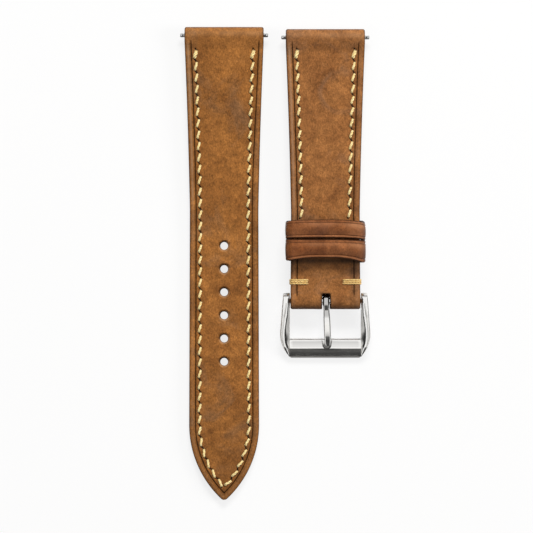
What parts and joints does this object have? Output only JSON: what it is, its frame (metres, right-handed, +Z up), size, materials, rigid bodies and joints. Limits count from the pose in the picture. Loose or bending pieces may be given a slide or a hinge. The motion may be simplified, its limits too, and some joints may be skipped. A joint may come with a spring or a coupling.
{
  "type": "leather watch strap",
  "caption": "Two-piece tapered leather watch strap laid flat: holed long half, and short half with keepers, tang buckle and sprung lug bars.",
  "frame": {"origin": "centre of the laid-out strap's footprint, on the surface that it lies on", "axes": "+Z up, away from the lining; +Y towards the lug ends; +X from the long half towards the short half"},
  "size_m": [0.0482, 0.1196, 0.0083],
  "materials": {
    "leather_upper": "waxed pull-up leather, mottled mid brown",
    "leather_keeper": "waxed leather, darker reddish brown",
    "leather_core": "cut edge, burnished",
    "leather_lining": "smooth tan lining",
    "seam_thread": "waxed cream linen thread",
    "tack_thread": "waxed straw-coloured thread",
    "bar_steel": "turned steel",
    "spring_steel": "plain wire",
    "buckle_steel": "polished arms, brushed crossbar",
    "tongue_steel": "polished"
  },
  "bodies": {
    "short_half": {"short_upper": "leather_upper", "short_filler": "leather_core", "short_lining": "leather_lining", "short_seam_thread": "seam_thread", "bar_tack_left": "tack_thread", "bar_tack_right": "tack_thread", "fixed_keeper": "leather_keeper"},
    "long_half": {"long_upper": "leather_upper", "long_filler": "leather_core", "long_lining": "leather_lining", "long_seam_thread": "seam_thread"},
    "free_keeper": {"free_keeper": "leather_keeper"},
    "long_lug_bar": {"long_lug_bar_tube": "bar_steel", "long_lug_bar_spring": "spring_steel"},
    "short_lug_bar": {"short_lug_bar_tube": "bar_steel", "short_lug_bar_spring": "spring_steel"},
    "buckle_bar": {"buckle_bar_tube": "bar_steel", "buckle_bar_spring": "spring_steel"},
    "buckle_frame": {"buckle_frame": "buckle_steel"},
    "buckle_tongue": {"buckle_tongue": "tongue_steel"},
    "long_lug_tip_left": {"long_lug_tip_left": "bar_steel"},
    "long_lug_tip_right": {"long_lug_tip_right": "bar_steel"},
    "short_lug_tip_left": {"short_lug_tip_left": "bar_steel"},
    "short_lug_tip_right": {"short_lug_tip_right": "bar_steel"},
    "buckle_tip_left": {"buckle_tip_left": "bar_steel"},
    "buckle_tip_right": {"buckle_tip_right": "bar_steel"}
  },
  "joints": [
    {"name": "long_half_lift", "type": "slide", "parent": "short_half", "child": "long_half", "axis": [0, 0, 1], "range_m": [0, 0.04]},
    {"name": "free_keeper_slide", "type": "slide", "parent": "short_half", "child": "free_keeper", "axis": [0, 0.9996, -0.0279], "range_m": [0, 0.01]},
    {"name": "long_lug_bar_spin", "type": "hinge", "parent": "long_half", "child": "long_lug_bar", "pos_m": [-0.01293, 0.05774, 0.00211], "axis": [1, 0, 0], "continuous": true},
    {"name": "short_lug_bar_spin", "type": "hinge", "parent": "short_half", "child": "short_lug_bar", "pos_m": [0.01268, 0.0572, 0.00217], "axis": [1, 0, 0], "continuous": true},
    {"name": "buckle_bar_spin", "type": "hinge", "parent": "short_half", "child": "buckle_bar", "pos_m": [0.01268, -0.00945, 0.00403], "axis": [1, 0, 0], "continuous": true},
    {"name": "buckle_swing", "type": "hinge", "parent": "short_half", "child": "buckle_frame", "pos_m": [0.01268, -0.00945, 0.00403], "axis": [-1, 0, 0], "range_deg": [-90, 40]},
    {"name": "tongue_swing", "type": "hinge", "parent": "buckle_frame", "child": "buckle_tongue", "pos_m": [0.01268, -0.00945, 0.00403], "axis": [-1, 0, 0], "range_deg": [0, 70]},
    {"name": "long_lug_tip_left_push", "type": "slide", "parent": "long_lug_bar", "child": "long_lug_tip_left", "axis": [1, 0, 0], "range_m": [0, 0.0012], "stiffness_N_per_m": 600, "deforming": ["long_lug_bar_spring"]},
    {"name": "long_lug_tip_right_push", "type": "slide", "parent": "long_lug_bar", "child": "long_lug_tip_right", "axis": [-1, 0, 0], "range_m": [0, 0.0012], "stiffness_N_per_m": 600, "deforming": ["long_lug_bar_spring"]},
    {"name": "short_lug_tip_left_push", "type": "slide", "parent": "short_lug_bar", "child": "short_lug_tip_left", "axis": [1, 0, 0], "range_m": [0, 0.0012], "stiffness_N_per_m": 600, "deforming": ["short_lug_bar_spring"]},
    {"name": "short_lug_tip_right_push", "type": "slide", "parent": "short_lug_bar", "child": "short_lug_tip_right", "axis": [-1, 0, 0], "range_m": [0, 0.0012], "stiffness_N_per_m": 600, "deforming": ["short_lug_bar_spring"]},
    {"name": "buckle_tip_left_push", "type": "slide", "parent": "buckle_bar", "child": "buckle_tip_left", "axis": [1, 0, 0], "range_m": [0, 0.0011], "stiffness_N_per_m": 600, "deforming": ["buckle_bar_spring"]},
    {"name": "buckle_tip_right_push", "type": "slide", "parent": "buckle_bar", "child": "buckle_tip_right", "axis": [-1, 0, 0], "range_m": [0, 0.0011], "stiffness_N_per_m": 600, "deforming": ["buckle_bar_spring"]}
  ]
}
